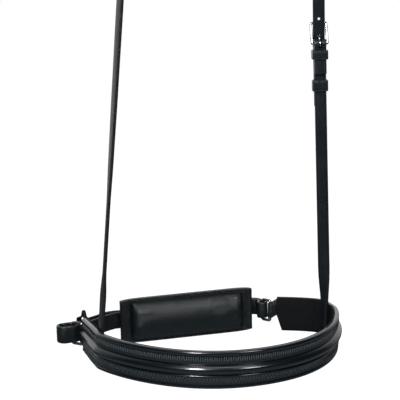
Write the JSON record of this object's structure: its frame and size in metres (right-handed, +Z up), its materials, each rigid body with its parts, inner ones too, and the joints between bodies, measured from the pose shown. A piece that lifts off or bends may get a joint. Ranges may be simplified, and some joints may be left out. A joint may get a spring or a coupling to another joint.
{
  "type": "crank noseband",
  "caption": "Black leather crank noseband: glossy padded nosepiece, cushioned chin pad on a doubled crank strap through two dees, and a sliphead with a side buckle.",
  "frame": {"origin": "the middle of the crown strap's underside, where it rests on the horse's poll", "axes": "+Z up along the hangers, -Y forward over the nose, +Y back to the chin pad, +X to the horse's near (left) side, where the sliphead buckles"},
  "size_m": [0.283, 0.2002, 0.487],
  "materials": {
    "patent_leather": "patent gloss",
    "bridle_leather": "waxed satin",
    "soft_leather": "soft matte",
    "lining_leather": "matte lining",
    "foam": "matte closed-cell foam",
    "silver_metal": "polished stainless"
  },
  "bodies": {
    "sliphead": {"sliphead_strap": "bridle_leather", "near_cheek_strap": "bridle_leather", "sliphead_fixed_keeper": "bridle_leather"},
    "sliphead_buckle": {"sliphead_buckle_frame": "silver_metal"},
    "sliphead_tongue": {"sliphead_buckle_tongue": "silver_metal"},
    "sliphead_keeper": {"sliphead_loose_keeper": "bridle_leather"},
    "nosepiece": {"nosepiece_face": "patent_leather", "nosepiece_padding": "foam", "nosepiece_backing": "bridle_leather", "nosepiece_lining": "lining_leather", "off_dee_chape": "soft_leather", "near_dee_chape": "soft_leather"},
    "off_ring": {"off_dee": "silver_metal"},
    "near_ring": {"near_dee": "silver_metal"},
    "chin": {"chin_strap": "soft_leather", "crank_chape": "soft_leather", "crank_fixed_keeper": "soft_leather"},
    "chin_pad": {"chin_pad_front": "soft_leather", "chin_pad_padding": "foam", "chin_pad_backing": "soft_leather", "chin_pad_binding": "soft_leather", "off_pad_keeper": "soft_leather", "near_pad_keeper": "soft_leather"},
    "crank_buckle": {"crank_buckle_frame": "silver_metal"},
    "crank_tongue": {"crank_buckle_tongue": "silver_metal"},
    "crank_keeper": {"crank_loose_keeper": "soft_leather"},
    "off_keeper": {"off_side_keeper": "soft_leather"}
  },
  "joints": [
    {"name": "noseband_tilt", "type": "hinge", "parent": "sliphead", "child": "nosepiece", "pos_m": [0, 0, -0.45525], "axis": [1, 0, 0], "range_deg": [-10, 10]},
    {"name": "sliphead_buckle_hinge", "type": "hinge", "parent": "sliphead", "child": "sliphead_buckle", "pos_m": [0.10889, -0.00159, -0.17102], "axis": [-0.9651, 0.2588, -0.041], "range_deg": [-1.2, 1.2]},
    {"name": "sliphead_tongue_hinge", "type": "hinge", "parent": "sliphead_buckle", "child": "sliphead_tongue", "pos_m": [0.10889, -0.00159, -0.17102], "axis": [-0.9651, 0.2588, -0.041], "range_deg": [0, 1.5]},
    {"name": "sliphead_keeper_slide", "type": "slide", "parent": "sliphead", "child": "sliphead_keeper", "axis": [-0.0425, 0, 0.9991], "range_m": [-0.012, 0.006]},
    {"name": "off_dee_swing", "type": "hinge", "parent": "nosepiece", "child": "off_ring", "pos_m": [-0.1266, 0.049, -0.46168], "axis": [0, 0, 1], "range_deg": [-7, 7]},
    {"name": "near_dee_swing", "type": "hinge", "parent": "nosepiece", "child": "near_ring", "pos_m": [0.07773, 0.04206, -0.45713], "axis": [0, 0, 1], "range_deg": [-3, 3]},
    {"name": "chin_strap_rock", "type": "hinge", "parent": "nosepiece", "child": "chin", "pos_m": [0.07201, 0.05045, -0.45713], "axis": [0.9996, -0.0154, 0.0224], "range_deg": [-4, 4]},
    {"name": "chin_pad_slide", "type": "slide", "parent": "chin", "child": "chin_pad", "axis": [0.9956, -0.0909, 0.023], "range_m": [-0.004, 0.004]},
    {"name": "crank_buckle_hinge", "type": "hinge", "parent": "chin", "child": "crank_buckle", "pos_m": [-0.01123, 0.07562, -0.45909], "axis": [0.0229, -0.0021, -0.9997], "range_deg": [-1.2, 1.2]},
    {"name": "crank_tongue_hinge", "type": "hinge", "parent": "crank_buckle", "child": "crank_tongue", "pos_m": [-0.01123, 0.07562, -0.45909], "axis": [0.0229, -0.0021, -0.9997], "range_deg": [0, 1.5]},
    {"name": "crank_keeper_slide", "type": "slide", "parent": "chin", "child": "crank_keeper", "axis": [0.9956, -0.0909, 0.023], "range_m": [-0.004, 0.008]},
    {"name": "off_keeper_slide", "type": "slide", "parent": "chin", "child": "off_keeper", "axis": [0.9511, 0.309, 0], "range_m": [-0.0015, 0.0015]}
  ]
}
